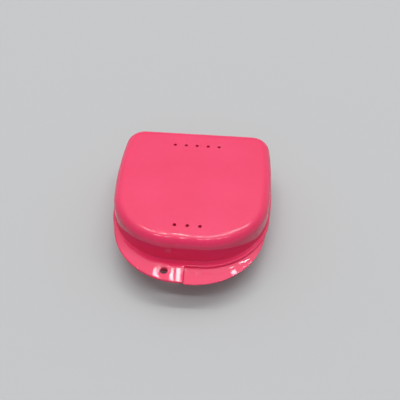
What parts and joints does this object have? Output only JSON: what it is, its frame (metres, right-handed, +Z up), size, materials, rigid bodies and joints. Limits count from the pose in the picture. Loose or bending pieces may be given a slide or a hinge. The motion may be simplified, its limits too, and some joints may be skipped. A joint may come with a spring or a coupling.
{
  "type": "denture case",
  "caption": "Pocket denture case: two shallow hollow halves hinged along the flat back, with vent holes, a thin rim, and a crescent thumb tab split between the halves.",
  "frame": {"origin": "centre of the footprint box on the surface that the base stands on", "axes": "+Z up; the thumb tabs at the front face -Y and the hinge is at +Y; the lanyard hole is on the -X side"},
  "size_m": [0.0808, 0.0942, 0.028],
  "materials": {
    "case_plastic": "glossy moulded plastic",
    "pin_steel": "plain drawn wire"
  },
  "bodies": {
    "base": {"base_shell": "case_plastic", "base_tab": "case_plastic", "hinge_pin_left": "pin_steel", "hinge_pin_right": "pin_steel"},
    "lid": {"lid_shell": "case_plastic", "lid_tab": "case_plastic"}
  },
  "joints": [
    {"name": "lid_hinge", "type": "hinge", "parent": "base", "child": "lid", "pos_m": [0, 0.045, 0.014], "axis": [-1, 0, 0], "range_deg": [0, 180]}
  ]
}
